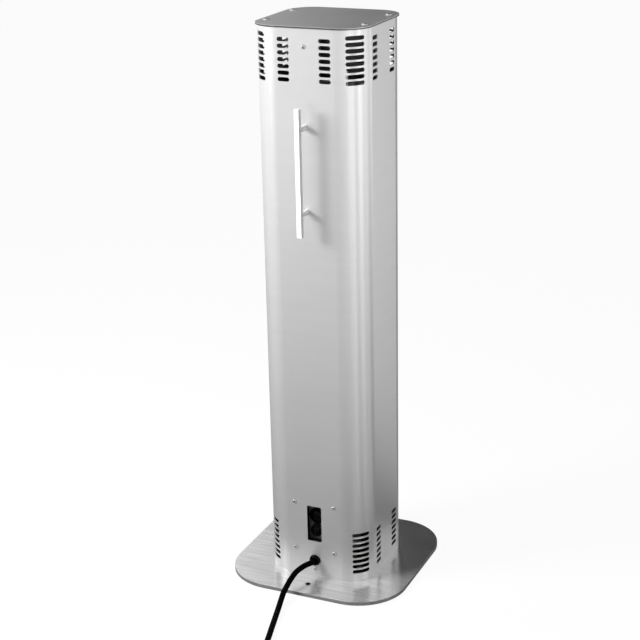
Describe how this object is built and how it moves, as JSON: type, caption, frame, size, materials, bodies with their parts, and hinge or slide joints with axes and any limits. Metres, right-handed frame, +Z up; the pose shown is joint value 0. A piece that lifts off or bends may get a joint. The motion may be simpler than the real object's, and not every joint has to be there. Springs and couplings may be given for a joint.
{
  "type": "infrared patio heater tower",
  "caption": "Free-standing square sheet-steel infrared heater tower on a base plate, with guarded quartz lamps in front and a bar handle, two booted switches and a mains cord at the back.",
  "frame": {"origin": "on the floor under the middle of the base plate", "axes": "+Z up along the tower, -Y to the front where the heater radiates, +Y to the back with the handle and cord, +X to the left as seen from behind"},
  "size_m": [0.3845, 0.5826, 0.9118],
  "materials": {
    "brushed_shell": "satin brushed",
    "rubber_pad": "matte",
    "zinc_sheet": "zinc plated",
    "steel_fastener": "polished",
    "white_handle": "satin white",
    "black_plastic": "matte",
    "black_boot": "semi gloss",
    "cord_rubber": "matte",
    "plug_rubber": "matte",
    "plug_brass": "nickel plated",
    "window_steel": "satin brushed",
    "polished_aluminium": "polished",
    "ceramic_white": "matte",
    "quartz": "clear",
    "filament_wire": "oxidised",
    "white_sleeve": "woven sleeve",
    "red_sleeve": "sleeve",
    "earth_sleeve": "sleeve"
  },
  "bodies": {
    "heater": {"base_plate": "brushed_shell", "base_pads": "rubber_pad", "foot_frame": "zinc_sheet", "foot_screws": "steel_fastener", "foot_nuts": "steel_fastener", "casing": "brushed_shell", "casing_screws": "steel_fastener", "top_frame": "zinc_sheet", "top_cover": "brushed_shell", "cover_screws": "steel_fastener", "handle_bar": "white_handle", "handle_posts": "white_handle", "handle_screws": "steel_fastener", "control_box": "black_plastic", "control_screws": "steel_fastener", "switch_plate": "zinc_sheet", "plate_screws": "steel_fastener", "rocker_housing": "black_plastic", "rocker_pin": "steel_fastener", "push_housing": "black_plastic", "push_nut": "steel_fastener", "cable_gland": "black_plastic", "gland_nut": "black_plastic", "power_cord": "cord_rubber", "cord_coil": "cord_rubber", "plug_lead": "cord_rubber", "plug_body": "plug_rubber", "plug_pins": "plug_brass", "window_trim": "window_steel", "trim_screws": "steel_fastener", "guard_grille": "window_steel", "reflector": "polished_aluminium", "reflector_ends": "polished_aluminium", "reflector_screws": "steel_fastener", "heat_shield": "zinc_sheet", "chassis_rails": "zinc_sheet", "holder_brackets": "zinc_sheet", "lamp_holders": "ceramic_white", "quartz_tubes": "quartz", "lamp_ends": "ceramic_white", "filaments": "filament_wire", "terminal_block": "ceramic_white", "wire_clips": "black_plastic", "lamp_leads": "white_sleeve", "switch_leads": "red_sleeve", "supply_lead": "cord_rubber", "earth_lead": "earth_sleeve", "earth_stud": "plug_brass", "tilt_switch": "black_plastic", "thermal_cutout": "plug_brass"},
    "rocker": {"rocker_cap": "black_boot"},
    "push_button": {"push_cap": "black_boot"}
  },
  "joints": [
    {"name": "rocker_tilt", "type": "hinge", "parent": "heater", "child": "rocker", "pos_m": [0, 0.075, 0.1118], "axis": [1, 0, 0], "range_deg": [0, 14]},
    {"name": "push_slide", "type": "slide", "parent": "heater", "child": "push_button", "axis": [0, -1, 0], "range_m": [0, 0.0025], "stiffness_N_per_m": 400}
  ]
}
